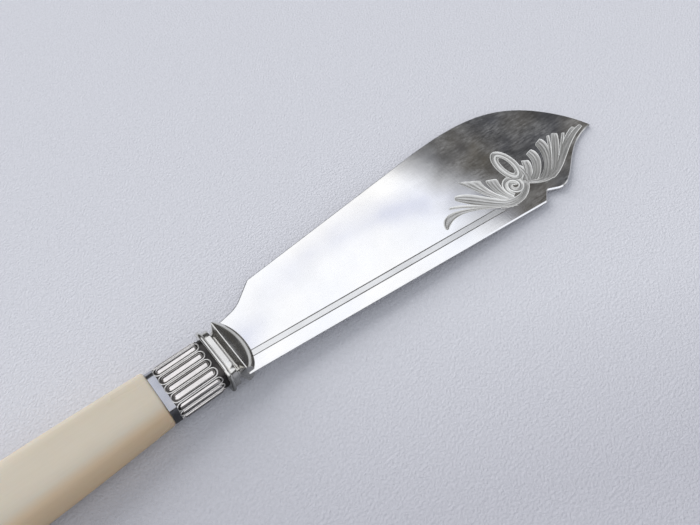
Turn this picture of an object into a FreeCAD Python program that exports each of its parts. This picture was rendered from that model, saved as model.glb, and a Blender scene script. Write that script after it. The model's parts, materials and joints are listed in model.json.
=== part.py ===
import FreeCAD, Part
import math
import os

# A fish server: a wide engraved blade, a cast bolster with its tang, a lobed ferrule and an ivory handle.
# Everything is drawn level first, in millimetres: X runs from the butt to the point, Z is up out of the
# engraved face, and the ferrule meets the bolster's flange at x = 0. The last step lays the server down.

# Blade plate and its outline, seen from above
BLADE_THICKNESS = 1.6
EDGE_BEVEL = 0.5
ROOT_HALF_WIDTH = 11.7
ROOT_BEND = (18.4, 13.7)
ROOT_BEND_RADIUS = 15.0
HEEL = (28.6, 21.2)
HEEL_RADIUS = 2.4
STRAIGHT_EDGE_END = (108.0, 28.4)
BELLY_PULL = 10.6
BELLY_POLES = ((168.8, 35.3), (172.0, 28.7), (192.2, 8.3))
BLADE_POINT = (196.4, -7.7)
OGEE_POLES = ((168.0, -25.4), (175.4, -8.7))
BULGE_PULL = 4.1
BULGE_START = (156.6, -23.5)
NOTCH = (152.2, -21.5)
NOTCH_RADIUS = 0.9
BACK_CORNER = (147.6, -25.6)
BACK_CORNER_RADIUS = 1.2

# Tongue of the blade, held in the bolster's slot
TONGUE_LENGTH = 4.4
TONGUE_WIDTH = 9.0
TONGUE_THICKNESS = 1.0
FIT_GAP = 0.04

# Engraving on the upper face
ENGRAVING_DEPTH = 0.25
LINE_DEPTH = 0.15
LINE_WIDTH = 0.5
LINES = (((13.4, -4.6), (127.2, -15.0)), ((12.8, -7.0), (131.1, -18.1)))

# Each flute of a leaf: the four poles that its middle line follows from root to tip, and its width
UPPER_LEAF = (
    ((149.1, -12.2), (152.2, -10.0), (154.7, -7.1), (156.7, -4.2), 3.6),
    ((150.4, -13.1), (153.5, -12.6), (155.9, -10.6), (157.8, -7.8), 1.4),
    ((151.1, -13.9), (156.0, -13.1), (160.5, -7.7), (160.6, -2.6), 2.3),
    ((152.1, -14.7), (159.2, -14.0), (163.7, -7.8), (164.2, -2.3), 2.2),
    ((154.2, -16.0), (160.6, -14.4), (166.5, -7.6), (168.8, -0.3), 2.5),
    ((156.0, -16.9), (163.4, -15.0), (169.5, -8.4), (171.8, -0.8), 2.4),
    ((157.9, -17.0), (164.6, -14.3), (170.6, -6.7), (176.0, -0.5), 1.5),
    ((159.3, -17.4), (166.6, -14.4), (173.3, -6.3), (178.9, -0.4), 1.8),
    ((160.8, -17.4), (168.3, -14.8), (175.1, -8.6), (180.2, -2.1), 2.0),
    ((162.4, -17.5), (168.3, -14.8), (174.9, -8.5), (183.1, -3.6), 1.4),
    ((163.3, -17.3), (173.1, -12.9), (180.5, -5.2), (188.7, -3.4), 2.2),
    ((158.5, -18.7), (168.0, -17.9), (178.0, -6.7), (193.3, -5.7), 2.4),
    ((149.8, -14.0), (153.2, -17.2), (159.5, -19.1), (166.1, -16.4), 1.8),
)
LOWER_LEAF = (
    ((139.4, -15.4), (137.6, -12.4), (138.4, -8.0), (139.6, -3.2), 3.4),
    ((137.6, -15.6), (134.6, -11.6), (135.4, -6.0), (135.9, -1.3), 3.0),
    ((135.9, -15.0), (132.4, -10.0), (133.2, -4.4), (131.2, 0.2), 2.8),
    ((134.4, -14.0), (129.7, -8.3), (130.3, -1.4), (126.0, 4.7), 3.4),
    ((137.2, -16.2), (130.9, -10.8), (127.4, -3.3), (119.0, 0.3), 2.1),
    ((137.2, -18.0), (129.6, -12.0), (122.8, -6.5), (118.1, -1.0), 3.6),
    ((136.0, -18.5), (126.3, -10.8), (118.7, -5.4), (112.4, -3.1), 1.5),
    ((137.1, -20.0), (123.1, -12.0), (108.5, 4.4), (104.4, -10.4), 3.1),
    ((149.7, -13.0), (147.5, -20.4), (137.5, -21.4), (130.7, -16.0), 2.3),
    ((149.2, -11.2), (146.0, -18.2), (138.8, -18.4), (133.2, -15.1), 2.6),
    ((152.3, -4.6), (152.6, -8.4), (151.2, -11.6), (148.9, -14.4), 2.2),
)
# Shares of a flute's length from its root, each with the share of its full width there
FLUTE_SWELL = ((0.0, 0.25), (0.3, 0.7), (0.6, 0.95), (0.88, 0.8))
LOOP_CENTRE = (148.6, -1.2)
LOOP_ANGLE = 85.0
LOOP_HALF_LENGTH = 9.2
LOOP_HALF_WIDTH = 5.1
LOOP_HOLE_LENGTH = 4.4
LOOP_HOLE_WIDTH = 1.4
SCROLL_CENTRE = (143.1, -11.0)
SCROLL_OUTER_RADIUS = 5.2
SCROLL_EYE_RADIUS = 0.9
SCROLL_TURNS = 1.67
SCROLL_START_ANGLE = 225.0
SCROLL_WIDTH = 1.5

# Bolster: flange, waist, ridge, and the half-moon dome on each face of the blade
FLANGE_OVERHANG = 0.55
FLANGE_HEIGHT = 16.4
FLANGE_RADIUS = 5.2
FLANGE_THICKNESS = 1.5
STEP_INSET = 0.9
STEP_THICKNESS = 2.4
WAIST_X = 4.8
WAIST_WIDTH = 20.0
WAIST_HEIGHT = 7.8
WAIST_RADIUS = 3.5
WAIST_SHOULDER_WIDTH = 21.0
WAIST_SHOULDER_HEIGHT = 10.4
FLARE_POWER = 1.15
RIDGE_X = 7.1
RIDGE_LENGTH = 22.7
RIDGE_HEIGHT = 11.0
RIDGE_LAND = 0.5
RIDGE_RADIUS = 0.3
DOME_REACH = 6.2
DOME_OVERRUN = 1.9
# Poles of the dome's top line, as shares of its reach and of its rise
DOME_CREST = (0.45, 0.86)
DOME_BROW = (0.92, 0.62)
DOME_STATIONS = 9

# Tang of the bolster
TANG_WIDTH = 5.0
TANG_HEIGHT = 3.6
TANG_END_WIDTH = 3.2
TANG_END_HEIGHT = 2.4
TANG_LENGTH = 62.0

# Ferrule: a thin sleeve with a plain band and a row of long raised lobes
FERRULE_LENGTH = 22.0
FERRULE_WIDTH = 18.2
FERRULE_HEIGHT = 13.2
FERRULE_RADIUS = 3.9
FERRULE_WALL = 0.6
BAND_LENGTH = 2.9
BAND_RISE = 0.35
LOBE_COUNT = 14
LOBE_FRONT_INSET = 2.3
LOBE_BACK_INSET = 3.7
LOBE_RADIUS = 1.5
LOBE_RISE = 0.55
PAD_MARGIN = 0.9
PAD_WIDTH = 4.3
PAD_RISE = 0.2

# Handle: an ivory grip of cushion section with a neck inside the ferrule
HANDLE_LENGTH = 105.0
HANDLE_HEIGHT_RATIO = 0.735
SHOULDER_WIDTH = 21.0
SHOULDER_OFFSET = 0.6
SHOULDER_ROUNDING = 1.0
NECKED_WIDTH = 22.1
NECKED_DISTANCE = 12.0
GRIP_WIDTH = 24.2
GRIP_DISTANCE = 38.0
PALM_WIDTH = 25.4
PALM_DISTANCE = 70.0
BUTT_WIDTH = 25.8
BUTT_ROUNDING = 6.0
ROUNDING_ANGLE = math.radians(75)
ROUNDING_STEPS = 3
HANDLE_CANT = 1.0
SECTION_SQUARENESS = 3.2
SECTION_POINTS = 16
NECK_GAP = 0.3

# Resin that holds the tang in the handle's bore
BORE_RADIUS = 3.4
BORE_DEPTH = 66.0

FLANGE_WIDTH = RIDGE_LENGTH + 2 * FLANGE_OVERHANG
DOME_SPAN = RIDGE_LENGTH + DOME_OVERRUN
DOME_START = RIDGE_X + RIDGE_LAND / 2


def at(x, y, z=0.0):
    return FreeCAD.Vector(x, y, z)


def box(x0, x1, width, height, z=0.0):
    """A box from x0 to x1, centred on the length, with its middle at height z."""
    return Part.makeBox(x1 - x0, width, height, at(x0, -width / 2, z - height / 2))


def rounded_path(corners):
    """Straight runs joined by tangent arcs; each corner is x, y and radius, and the two ends have no arc."""
    edges = []
    last = at(*corners[0][:2])
    for before, corner, after in zip(corners, corners[1:], corners[2:]):
        here = at(*corner[:2])
        back = (at(*before[:2]) - here).normalize()
        onward = (at(*after[:2]) - here).normalize()
        half_angle = back.getAngle(onward) / 2
        trim = corner[2] / math.tan(half_angle)
        start = here + back * trim
        end = here + onward * trim
        inward = (back + onward).normalize()
        middle = here + inward * (corner[2] / math.sin(half_angle) - corner[2])
        edges.append(Part.makeLine(last, start))
        edges.append(Part.Arc(start, middle, end).toShape())
        last = end
    edges.append(Part.makeLine(last, at(*corners[-1][:2])))
    return edges


def curve(poles):
    """A smooth edge pulled towards its inner poles, which leaves each end along its first pole."""
    bezier = Part.BezierCurve()
    bezier.setPoles([at(*p) for p in poles])
    return bezier.toShape()


def beyond(start, end, distance):
    """The point past end by the given distance, on the line from start."""
    further = at(*end) + (at(*end) - at(*start)).normalize() * distance
    return further.x, further.y


def blade_outline():
    root_x = DOME_START + FIT_GAP
    back = rounded_path([
        (root_x, -ROOT_HALF_WIDTH),
        (*BACK_CORNER, BACK_CORNER_RADIUS),
        (*NOTCH, NOTCH_RADIUS),
        BULGE_START,
    ])
    ogee = curve((BULGE_START, beyond(NOTCH, BULGE_START, BULGE_PULL), *OGEE_POLES, BLADE_POINT))
    edge_pole = beyond(HEEL, STRAIGHT_EDGE_END, BELLY_PULL)
    belly = curve((BLADE_POINT, *reversed(BELLY_POLES), edge_pole, STRAIGHT_EDGE_END))
    front = rounded_path([
        STRAIGHT_EDGE_END,
        (*HEEL, HEEL_RADIUS),
        (*ROOT_BEND, ROOT_BEND_RADIUS),
        (root_x, ROOT_HALF_WIDTH),
    ])
    root = Part.makeLine(at(root_x, ROOT_HALF_WIDTH), at(root_x, -ROOT_HALF_WIDTH))
    return Part.Wire(back + [ogee, belly] + front + [root])


def dome_reach(y):
    """How far the dome runs forward of its ridge, at y across the blade."""
    return DOME_REACH * math.sqrt(1 - (2 * y / DOME_SPAN) ** 2)


def dome_recess(z, height):
    """The space a dome takes out of the blade, with its clearance, from height z upwards."""
    half_length = RIDGE_LENGTH / 2 + FIT_GAP
    grown = FIT_GAP / DOME_REACH + 1
    disc = Part.Face(Part.Wire(Part.Ellipse(at(0, 0), DOME_SPAN / 2, DOME_REACH).toShape()))
    disc.rotate(at(0, 0), at(0, 0, 1), 90)
    disc.scale(grown, at(0, 0))
    disc.translate(at(DOME_START, 0, z))
    limits = Part.makeBox(DOME_REACH * 2, half_length * 2, height, at(DOME_START, -half_length, z))
    return disc.extrude(at(0, 0, height)).common(limits)


def flute(poles, width):
    """One flute of a leaf as a flat face: narrow at its root, full before its tip, and rounded at its tip."""
    a, b, c, d = [at(*pole) for pole in poles]

    def place(share, side):
        rest = 1 - share
        centre = a * rest ** 3 + b * (3 * share * rest ** 2) + c * (3 * share ** 2 * rest) + d * share ** 3
        along = (b - a) * rest ** 2 + (c - b) * (2 * share * rest) + (d - c) * share ** 2
        left = at(-along.y, along.x).normalize()
        return centre + left * side

    flanks = []
    for side in (width / 2, -width / 2):
        flanks.append([place(share, side * swell) for share, swell in FLUTE_SWELL])
    edges = []
    for flank in flanks:
        line = Part.BSplineCurve()
        line.interpolate(flank)
        edges.append(line.toShape())
    edges.append(Part.Arc(flanks[0][-1], d, flanks[1][-1]).toShape())
    edges.append(Part.makeLine(flanks[0][0], flanks[1][0]))
    return Part.Face(Part.Wire(Part.sortEdges(edges)[0]))


def stroke(points, width):
    """A band of even width that follows a smooth line through the points, as a flat face."""
    spline = Part.BSplineCurve()
    spline.interpolate([at(*p) for p in points])
    count = 2 * len(points) + 3
    sides = ([], [])
    for i in range(count):
        u = spline.FirstParameter + (spline.LastParameter - spline.FirstParameter) * i / (count - 1)
        centre = spline.value(u)
        along = spline.tangent(u)[0]
        left = at(-along.y, along.x)
        sides[0].append(centre + left * (width / 2))
        sides[1].append(centre - left * (width / 2))
    edges = []
    for side in sides:
        line = Part.BSplineCurve()
        line.interpolate(side)
        edges.append(line.toShape())
    caps = [Part.makeLine(sides[0][i], sides[1][i]) for i in (0, -1)]
    return Part.Face(Part.Wire(Part.sortEdges(edges + caps)[0]))


def loop_ribbon():
    """The oval loop of the scroll: a ribbon between two ellipses."""
    ovals = []
    for sizes in ((LOOP_HALF_LENGTH, LOOP_HALF_WIDTH), (LOOP_HOLE_LENGTH, LOOP_HOLE_WIDTH)):
        oval = Part.Ellipse(at(0, 0), *sizes)
        ovals.append(Part.Face(Part.Wire(oval.toShape())))
    ribbon = ovals[0].cut(ovals[1])
    ribbon.rotate(at(0, 0), at(0, 0, 1), LOOP_ANGLE)
    ribbon.translate(at(*LOOP_CENTRE))
    return ribbon


def scroll():
    """The volute: a band that winds in to its eye."""
    points = []
    steps = int(8 * SCROLL_TURNS)
    for i in range(steps + 1):
        share = i / steps
        angle = math.radians(SCROLL_START_ANGLE - 360 * SCROLL_TURNS * share)
        radius = SCROLL_OUTER_RADIUS + (SCROLL_EYE_RADIUS - SCROLL_OUTER_RADIUS) * share
        points.append((SCROLL_CENTRE[0] + radius * math.cos(angle), SCROLL_CENTRE[1] + radius * math.sin(angle)))
    return stroke(points, SCROLL_WIDTH)


def sunk(faces, depth):
    """Pockets of the given depth below the blade's upper face, joined where they meet."""
    floor = BLADE_THICKNESS / 2 - depth
    cutters = []
    for face in faces:
        face.translate(at(0, 0, floor))
        cutters.append(face.extrude(at(0, 0, 2 * depth)))
    return cutters[0].multiFuse(cutters[1:])


def blade():
    plate = Part.Face(blade_outline()).extrude(at(0, 0, BLADE_THICKNESS))
    plate.translate(at(0, 0, -BLADE_THICKNESS / 2))
    rims = [e for e in plate.Edges if is_rim(e)]
    plate = plate.makeChamfer(EDGE_BEVEL, rims)
    recess = (BLADE_THICKNESS - TONGUE_THICKNESS) / 2
    for z in (TONGUE_THICKNESS / 2, -BLADE_THICKNESS / 2):
        plate = plate.cut(dome_recess(z, recess))
    tongue = box(DOME_START - TONGUE_LENGTH, DOME_START + 1.0, TONGUE_WIDTH, TONGUE_THICKNESS)
    plate = plate.fuse(tongue)
    flutes = [flute(row[:4], row[4]) for row in UPPER_LEAF + LOWER_LEAF]
    lines = [stroke(ends, LINE_WIDTH) for ends in LINES]
    plate = plate.cut(sunk(flutes + [scroll(), loop_ribbon()], ENGRAVING_DEPTH))
    return plate.cut(sunk(lines, LINE_DEPTH)).removeSplitter()


def is_rim(edge):
    """True for an edge round either face of the plate, but not across its root."""
    box_of = edge.BoundBox
    level = box_of.ZLength < 0.001
    across_root = box_of.XLength < 0.001
    return level and not across_root


def rounded_rectangle(x, width, height, radius):
    """A closed outline across the length at x, starting in the middle of the top."""
    half_w = width / 2
    half_h = height / 2
    corners = [
        (0, half_h, 0),
        (half_w, half_h, radius),
        (half_w, -half_h, radius),
        (-half_w, -half_h, radius),
        (-half_w, half_h, radius),
        (0, half_h, 0),
    ]
    wire = Part.Wire(rounded_path(corners))
    wire.Placement = FreeCAD.Placement(at(x, 0, 0), FreeCAD.Rotation(at(1, 1, 1), 120))
    return wire


def plate_across(x, thickness, width, height, radius):
    return Part.Face(rounded_rectangle(x, width, height, radius)).extrude(at(thickness, 0, 0))


def hollow(outer, inner, turn):
    """One outline of a hollow quarter round, which leaves outer square to the length and meets inner along it."""
    run = 1 - math.cos(math.radians(turn))
    drop = math.sin(math.radians(turn))
    return between(outer, inner, run, drop)


def between(start, end, run, share):
    """An outline at the given share of the way along from start to end, with its sizes at a share of their own."""
    sizes = [a + (b - a) * share for a, b in zip(start[1:], end[1:])]
    return rounded_rectangle(start[0] + (end[0] - start[0]) * run, *sizes)


def waist():
    """The hollow neck: rounded where it leaves the step, and flaring to the square corners of the ridge."""
    ridge_start = RIDGE_X - RIDGE_LAND / 2
    shoulder = (FLANGE_THICKNESS + STEP_THICKNESS, WAIST_SHOULDER_WIDTH, WAIST_SHOULDER_HEIGHT, WAIST_RADIUS)
    neck = (WAIST_X, WAIST_WIDTH, WAIST_HEIGHT, WAIST_RADIUS)
    ridge = (ridge_start, RIDGE_LENGTH, RIDGE_HEIGHT, RIDGE_RADIUS)
    outlines = [hollow(shoulder, neck, turn) for turn in (0, 35, 90)]
    outlines += [between(neck, ridge, run, run ** FLARE_POWER) for run in (0.25, 0.5, 0.75, 1.0)]
    land = plate_across(ridge_start, RIDGE_LAND, RIDGE_LENGTH, RIDGE_HEIGHT, RIDGE_RADIUS)
    return Part.makeLoft(outlines, True, True).fuse(land)


def dome_section(y):
    """The dome cut along the length at y: its swelling top, a short foot in the blade's recess, and a flat back."""
    foot = BLADE_THICKNESS / 2
    seat = TONGUE_THICKNESS / 2 + FIT_GAP
    rise = RIDGE_HEIGHT / 2 - foot
    reach = dome_reach(y)
    front = DOME_START + reach
    top = Part.BezierCurve()
    shares = [(0, 1), DOME_CREST, DOME_BROW, (1, 0)]
    top.setPoles([at(DOME_START + reach * run, y, foot + rise * height) for run, height in shares])
    corners = [at(front, y, foot), at(front, y, seat), at(DOME_START, y, seat), at(DOME_START, y, foot + rise)]
    return Part.Wire([top.toShape()] + [Part.makeLine(*ends) for ends in zip(corners, corners[1:])])


def dome():
    """The upper half-moon: level along its ridge, and falling to the blade's face at its curved edge."""
    half_length = RIDGE_LENGTH / 2
    steps = range(DOME_STATIONS)
    sections = [dome_section(half_length * (2 * i / (DOME_STATIONS - 1) - 1)) for i in steps]
    return Part.makeLoft(sections, True, False)


def tang():
    front = Part.makePolygon(rectangle_points(0, TANG_WIDTH, TANG_HEIGHT))
    back = Part.makePolygon(rectangle_points(-TANG_LENGTH, TANG_END_WIDTH, TANG_END_HEIGHT))
    return Part.makeLoft([front, back], True, True)


def rectangle_points(x, width, height):
    corners = [(1, 1), (-1, 1), (-1, -1), (1, -1), (1, 1)]
    return [at(x, a * width / 2, b * height / 2) for a, b in corners]


def bolster():
    flange = plate_across(0, FLANGE_THICKNESS, FLANGE_WIDTH, FLANGE_HEIGHT, FLANGE_RADIUS)
    step = plate_across(
        FLANGE_THICKNESS,
        STEP_THICKNESS,
        FLANGE_WIDTH - 2 * STEP_INSET,
        FLANGE_HEIGHT - 2 * STEP_INSET,
        FLANGE_RADIUS - STEP_INSET,
    )
    top = dome()
    underside = top.mirror(at(0, 0, 0), at(0, 0, 1))
    body = flange.multiFuse([step, waist(), top, underside, tang()])
    slot_start = DOME_START - TONGUE_LENGTH - FIT_GAP
    slot = box(slot_start, DOME_START + 1.0, TONGUE_WIDTH + 2 * FIT_GAP, TONGUE_THICKNESS + 2 * FIT_GAP)
    return body.cut(slot).removeSplitter()


def ferrule_section(x, grow):
    """The ferrule's outline at x, grown outward or, if negative, inward."""
    width = FERRULE_WIDTH + 2 * grow
    return rounded_rectangle(x, width, FERRULE_HEIGHT + 2 * grow, FERRULE_RADIUS + grow)


def lobe_seats():
    """A point on the ferrule's surface for each lobe and the outward direction there, evenly spaced round it."""
    marks = ferrule_section(0, 0).discretize(Number=2 * LOBE_COUNT + 1)
    core_w = FERRULE_WIDTH / 2 - FERRULE_RADIUS
    core_h = FERRULE_HEIGHT / 2 - FERRULE_RADIUS
    seats = []
    for mark in marks[1::2]:
        core = at(0, max(-core_w, min(core_w, mark.y)), max(-core_h, min(core_h, mark.z)))
        seats.append((mark, (mark - core).normalize()))
    return seats


def raised_lobe(mark, outward):
    """A long bar with round ends, sunk so that only its crest stands above the sleeve."""
    back = at(-FERRULE_LENGTH + LOBE_BACK_INSET + LOBE_RADIUS, 0, 0)
    front = at(-LOBE_FRONT_INSET - LOBE_RADIUS, 0, 0)
    centre = mark - outward * (LOBE_RADIUS - LOBE_RISE)
    bar = Part.makeCylinder(LOBE_RADIUS, front.x - back.x, centre + back, at(1, 0, 0))
    ends = [Part.makeSphere(LOBE_RADIUS, centre + end) for end in (back, front)]
    return bar.multiFuse(ends)


def lobe_pad(mark, outward):
    """A long round-ended prism that stands out along the outward direction, wide enough to meet its neighbours."""
    radius = PAD_WIDTH / 2
    back = -FERRULE_LENGTH + LOBE_BACK_INSET - PAD_MARGIN + radius
    front = -LOBE_FRONT_INSET + PAD_MARGIN - radius
    base = mark - outward * FERRULE_WALL
    height = FERRULE_WALL + 2 * PAD_RISE
    along = Part.makeBox(front - back, PAD_WIDTH, height, at(0, -radius, 0))
    ends = [Part.makeCylinder(radius, height, at(x, 0, 0)) for x in (0, front - back)]
    pad = along.multiFuse(ends)
    sideways = outward.cross(at(1, 0, 0))
    turn = FreeCAD.Rotation(at(1, 0, 0), sideways, outward, "ZXY")
    pad.Placement = FreeCAD.Placement(base + at(back, 0, 0), turn)
    return pad


def ferrule():
    bore = Part.Face(ferrule_section(-FERRULE_LENGTH, -FERRULE_WALL)).extrude(at(FERRULE_LENGTH, 0, 0))
    sleeve = Part.Face(ferrule_section(-FERRULE_LENGTH, 0)).extrude(at(FERRULE_LENGTH, 0, 0))
    band = Part.Face(ferrule_section(-FERRULE_LENGTH, BAND_RISE)).extrude(at(BAND_LENGTH, 0, 0))
    seats = lobe_seats()
    pads = [lobe_pad(*seat) for seat in seats]
    skin = Part.Face(ferrule_section(-FERRULE_LENGTH, PAD_RISE)).extrude(at(FERRULE_LENGTH, 0, 0))
    ground = pads[0].multiFuse(pads[1:]).common(skin)
    lobes = [raised_lobe(*seat) for seat in seats]
    return sleeve.multiFuse([band, ground] + lobes).cut(bore).removeSplitter()


def cushion(behind, width, inset=0.0):
    """A closed cushion-shaped outline across the handle, flatter than a circle on all four sides."""
    middle = SHOULDER_OFFSET - behind * math.tan(math.radians(HANDLE_CANT))
    half_w = width / 2 - inset
    half_h = width / 2 * HANDLE_HEIGHT_RATIO - inset
    points = []
    for i in range(SECTION_POINTS):
        across = math.cos(2 * math.pi * i / SECTION_POINTS)
        up = math.sin(2 * math.pi * i / SECTION_POINTS)
        reach = (abs(across) ** SECTION_SQUARENESS + abs(up) ** SECTION_SQUARENESS) ** (-1 / SECTION_SQUARENESS)
        points.append(at(-FERRULE_LENGTH - behind, middle + half_w * across * reach, half_h * up * reach))
    outline = Part.BSplineCurve()
    outline.interpolate(points, PeriodicFlag=True)
    return Part.Wire(outline.toShape())


def rounded_end(behind, width, rounding):
    """The rounding at one end of the grip, from its full section at behind; a negative rounding faces forward."""
    radius = abs(rounding)
    outlines = []
    for step in range(ROUNDING_STEPS + 1):
        turn = ROUNDING_ANGLE * step / ROUNDING_STEPS
        outlines.append(cushion(
            behind + rounding * math.sin(turn),
            width,
            radius * (1 - math.cos(turn)),
        ))
    return Part.makeLoft(outlines, True, True)


def grip():
    """The swelling grip, which leans a little off the blade's line, with rounded ends."""
    reach = math.sin(ROUNDING_ANGLE)
    stations = [
        (SHOULDER_ROUNDING * reach, SHOULDER_WIDTH),
        (NECKED_DISTANCE, NECKED_WIDTH),
        (GRIP_DISTANCE, GRIP_WIDTH),
        (PALM_DISTANCE, PALM_WIDTH),
        (HANDLE_LENGTH - BUTT_ROUNDING * reach, BUTT_WIDTH),
    ]
    body = Part.makeLoft([cushion(*station) for station in stations], True, False)
    shoulder = rounded_end(*stations[0], -SHOULDER_ROUNDING)
    butt = rounded_end(*stations[-1], BUTT_ROUNDING)
    return body.multiFuse([shoulder, butt])


def bore_space():
    return Part.makeCylinder(BORE_RADIUS, BORE_DEPTH - NECK_GAP, at(-BORE_DEPTH, 0, 0), at(1, 0, 0))


def handle():
    inset = -FERRULE_WALL - FIT_GAP
    neck_length = FERRULE_LENGTH - NECK_GAP
    neck = Part.Face(ferrule_section(-FERRULE_LENGTH - 1.0, inset)).extrude(at(neck_length + 1.0, 0, 0))
    return grip().fuse(neck).cut(bore_space()).removeSplitter()


def tang_cement():
    return bore_space().cut(tang())


def rest_pitch(plate):
    """How far the server noses down until the blade touches what the flange's lower edge stands on."""
    angles = []
    for vertex in plate.Vertexes:
        if vertex.X > BLADE_POINT[0] / 2:
            angles.append(math.atan2(FLANGE_HEIGHT / 2 + vertex.Z, vertex.X - FLANGE_THICKNESS))
    return min(angles)


def rest_placement(pieces):
    """Nose the server down onto the flange and the point, then set the middle of its base at the origin."""
    turn = FreeCAD.Rotation(at(0, 1, 0), math.degrees(rest_pitch(pieces["blade"])))
    tilted = Part.makeCompound([p.transformGeometry(turn_matrix(turn)) for p in pieces.values()])
    bounds = tilted.optimalBoundingBox(False)
    middle = at((bounds.XMin + bounds.XMax) / 2, (bounds.YMin + bounds.YMax) / 2, bounds.ZMin)
    return FreeCAD.Placement(middle * -1, turn)


def turn_matrix(turn):
    return FreeCAD.Placement(at(0, 0, 0), turn).toMatrix()


def build():
    pieces = {
        "blade": blade(),
        "bolster": bolster(),
        "ferrule": ferrule(),
        "handle": handle(),
        "tang_cement": tang_cement(),
    }
    lay = rest_placement(pieces)
    for piece in pieces.values():
        piece.Placement = lay.multiply(piece.Placement)
    return pieces, lay


os.makedirs("parts", exist_ok=True)
PIECES, REST = build()
for name, piece in PIECES.items():
    piece.exportStep("parts/" + name + ".step")
    print(name, piece.isValid(), len(piece.Solids), round(piece.Volume, 1))
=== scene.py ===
import json
import math
import bpy
from mathutils import Matrix, Vector


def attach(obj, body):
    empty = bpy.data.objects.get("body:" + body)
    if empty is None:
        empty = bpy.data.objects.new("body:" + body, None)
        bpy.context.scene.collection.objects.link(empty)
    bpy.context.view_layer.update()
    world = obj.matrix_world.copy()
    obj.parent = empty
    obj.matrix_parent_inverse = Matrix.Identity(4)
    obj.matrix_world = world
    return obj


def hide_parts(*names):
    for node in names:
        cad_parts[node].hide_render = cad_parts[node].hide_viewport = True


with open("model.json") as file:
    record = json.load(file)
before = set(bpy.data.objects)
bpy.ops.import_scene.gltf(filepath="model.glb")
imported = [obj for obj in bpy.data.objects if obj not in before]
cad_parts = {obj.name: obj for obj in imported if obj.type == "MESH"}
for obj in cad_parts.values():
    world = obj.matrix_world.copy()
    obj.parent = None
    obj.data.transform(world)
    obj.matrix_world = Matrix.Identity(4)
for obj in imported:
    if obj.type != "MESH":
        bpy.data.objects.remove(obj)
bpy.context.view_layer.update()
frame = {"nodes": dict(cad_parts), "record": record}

# The server is shaped level, in millimetres: X runs from the butt to the point, Y is towards the curved edge,
# Z is up out of the engraved face, and the ferrule meets the flange at x = 0. LAY turns each finished piece
# to metres and to its rest, so that FACE_POINT comes where the record has the middle of the carrying face.
MM = 0.001
FACE_POINT = Vector((80.0, 5.0, 0.8))
carrying_face = frame["record"]["mounts"][0]
face_normal = carrying_face["axis"]
rest_turn = Matrix.Rotation(math.atan2(face_normal[0], face_normal[2]), 4, "Y")
LAY = (Matrix.Translation(carrying_face["pos_m"]) @ rest_turn
       @ Matrix.Scale(MM, 4) @ Matrix.Translation(-FACE_POINT))

# Smoothing: creases sharper than these angles in degrees stay, and so do faces as level as this
BLADE_CREASE = 20.0
OTHER_CREASE = 32.0
LEVEL = 0.99999

# Blade plate and its outline, as (x, y) places, and which part of its bevel is painted dark as shade
BLADE_THICKNESS = 1.6
FACE = BLADE_THICKNESS / 2
EDGE_BEVEL = 0.5
ROOT_X = 7.4
ROOT_HALF_WIDTH = 11.7
ROOT_BEND = (18.4, 13.7)
ROOT_BEND_RADIUS = 15.0
HEEL = (28.6, 21.2)
HEEL_RADIUS = 2.4
STRAIGHT_EDGE_END = (108.0, 28.4)
BELLY_PULL = 10.6
BELLY_POLES = ((168.8, 35.3), (172.0, 28.7), (192.2, 8.3))
BLADE_POINT = (196.4, -7.7)
OGEE_POLES = ((168.0, -25.4), (175.4, -8.7))
BULGE_PULL = 4.1
BULGE_START = (156.6, -23.5)
NOTCH = (152.2, -21.5)
NOTCH_RADIUS = 0.9
BACK_CORNER = (147.6, -25.6)
BACK_CORNER_RADIUS = 1.2
OGEE_STEPS = 44
BELLY_STEPS = 60
ROOT_STEPS = 14
BEVEL_TILT = (0.3, 0.95)
BEVEL_SHADE_AHEAD = 0.5
BEVEL_SHADE_ASIDE = 0.4

# Engraving: each lobe of a leaf is the four poles of its near edge and of its far edge, from root to tip, and
# the number of shallow veins along its floor
UPPER_LEAF = (
    (((147.0, -11.1), (150.7, -9.8), (154.0, -6.7), (155.4, -3.2)),
     ((150.3, -13.8), (155.1, -11.2), (158.0, -7.7), (158.2, -5.0)), 2),
    (((149.0, -12.7), (154.7, -12.4), (160.0, -7.1), (159.9, -1.9)),
     ((152.3, -15.4), (158.2, -13.8), (167.0, -6.0), (163.7, -1.2)), 3),
    (((151.1, -14.8), (159.3, -15.4), (166.4, -8.5), (167.1, -0.3)),
     ((156.6, -17.8), (164.1, -15.6), (175.3, -3.5), (171.6, 0.7)), 3),
    (((155.4, -17.2), (162.3, -15.6), (169.7, -6.7), (175.6, 0.0)),
     ((156.8, -17.6), (163.4, -15.7), (169.9, -8.3), (176.7, -0.3)), 1),
    (((156.0, -17.7), (163.1, -16.2), (171.0, -6.2), (178.4, -0.2)),
     ((158.9, -17.9), (166.4, -15.9), (175.7, -8.4), (180.4, -1.9)), 3),
    (((159.2, -17.8), (166.4, -15.9), (175.3, -8.1), (182.5, -3.1)),
     ((160.2, -17.9), (167.6, -16.2), (176.0, -8.7), (183.2, -3.8)), 1),
    (((159.7, -17.8), (167.8, -14.1), (179.0, -4.9), (189.1, -3.4)),
     ((161.5, -17.9), (169.7, -14.2), (178.3, -6.7), (189.5, -4.9)), 1),
    (((161.2, -16.4), (168.3, -13.6), (178.0, -5.6), (193.1, -4.5)),
     ((158.1, -18.9), (168.8, -18.6), (179.4, -7.8), (193.0, -6.2)), 2),
    (((148.0, -13.2), (152.0, -17.2), (158.4, -20.6), (166.6, -16.8)),
     ((149.2, -11.8), (152.6, -14.6), (157.6, -16.4), (163.0, -14.2)), 2),
)
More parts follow.
